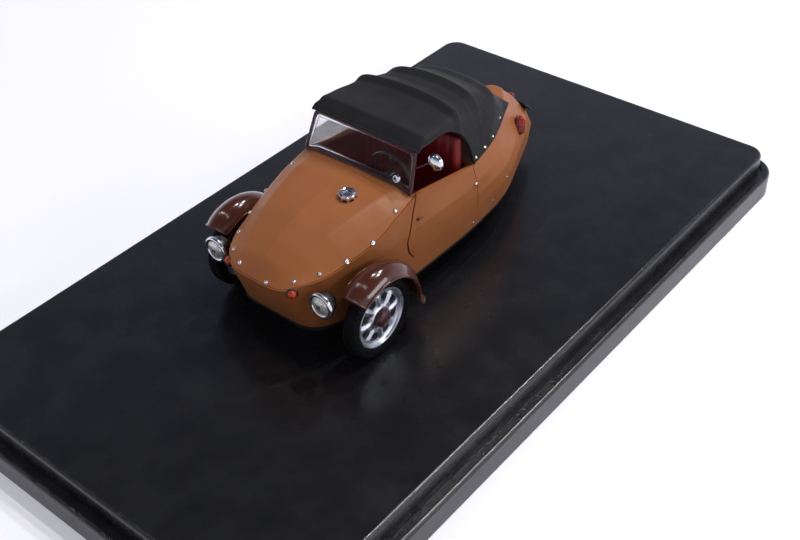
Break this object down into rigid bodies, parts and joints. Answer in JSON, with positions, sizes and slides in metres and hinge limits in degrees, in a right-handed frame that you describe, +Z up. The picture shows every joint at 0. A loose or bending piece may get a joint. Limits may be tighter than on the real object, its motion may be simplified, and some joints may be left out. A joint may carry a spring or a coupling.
{
  "type": "scale model of a three-wheeled car on a display plinth",
  "caption": "Scale model of a light three-wheeled car with a soft top, held by screws on a black stepped display plinth.",
  "frame": {"origin": "centre of the plinth's underside", "axes": "+X the way the car faces, +Y the car's left, +Z up"},
  "size_m": [0.132, 0.0756, 0.0363],
  "materials": {
    "plinth_black": "satin black moulded plastic",
    "body_tan": "tan paint, semi-matt",
    "guard_brown": "dark brown paint, gloss",
    "chrome": "bright plating",
    "tyre": "matt black",
    "hood_black": "matt black, moulded as cloth",
    "clear_sheet": "clear plastic sheet",
    "frame_maroon": "dark red-brown paint",
    "trim_red": "dark red, moulded as pleated upholstery",
    "trim_black": "matt black",
    "chassis_black": "satin black",
    "lamp_clear": "clear lens",
    "lamp_amber": "amber lens",
    "lamp_red": "red lens",
    "cap_mauve": "brown-mauve paint",
    "screw_steel": "zinc plated"
  },
  "bodies": {
    "car_and_plinth": {"bonnet": "body_tan", "dashboard": "trim_red", "door_left": "body_tan", "door_mirror": "chrome", "door_right": "body_tan", "filler_cap": "chrome", "fixing_screw_front": "screw_steel", "fixing_screw_rear": "screw_steel", "floor_pan": "chassis_black", "front_body": "body_tan", "front_leaf_springs": "chassis_black", "headlamp_bowl_left": "trim_black", "headlamp_bowl_right": "trim_black", "headlamp_lens_left": "lamp_clear", "headlamp_lens_right": "lamp_clear", "headlamp_ring_left": "chrome", "headlamp_ring_right": "chrome", "indicator_left": "lamp_amber", "indicator_right": "lamp_amber", "instrument_pod": "chrome", "mudguard_left": "guard_brown", "mudguard_right": "guard_brown", "number_plate": "trim_black", "plate_lamp": "lamp_red", "plinth": "plinth_black", "rear_axle": "screw_steel", "rear_body": "body_tan", "rear_fork": "chassis_black", "rear_window": "clear_sheet", "seat_backrest": "trim_red", "seat_cushion": "trim_red", "soft_top": "hood_black", "steering_wheel": "trim_black", "stub_axle_left": "chassis_black", "stub_axle_right": "chassis_black", "tail_lamp_left": "lamp_red", "tail_lamp_right": "lamp_red", "windscreen_frame": "frame_maroon", "windscreen_glass": "clear_sheet", "wiper": "trim_black"},
    "front_left_wheel": {"front_left_tyre": "tyre", "front_left_rim": "chrome", "front_left_hub_cap": "cap_mauve"},
    "front_right_wheel": {"front_right_tyre": "tyre", "front_right_rim": "chrome", "front_right_hub_cap": "cap_mauve"},
    "rear_wheel": {"rear_tyre": "tyre", "rear_rim": "chrome"}
  },
  "joints": [
    {"name": "front_left_wheel_spin", "type": "hinge", "parent": "car_and_plinth", "child": "front_left_wheel", "pos_m": [0.0189, 0.014, 0.0145], "axis": [0, 1, 0], "continuous": true},
    {"name": "front_right_wheel_spin", "type": "hinge", "parent": "car_and_plinth", "child": "front_right_wheel", "pos_m": [0.0189, -0.014, 0.0145], "axis": [0, 1, 0], "continuous": true},
    {"name": "rear_wheel_spin", "type": "hinge", "parent": "car_and_plinth", "child": "rear_wheel", "pos_m": [-0.0267, 0, 0.0145], "axis": [0, 1, 0], "continuous": true}
  ]
}
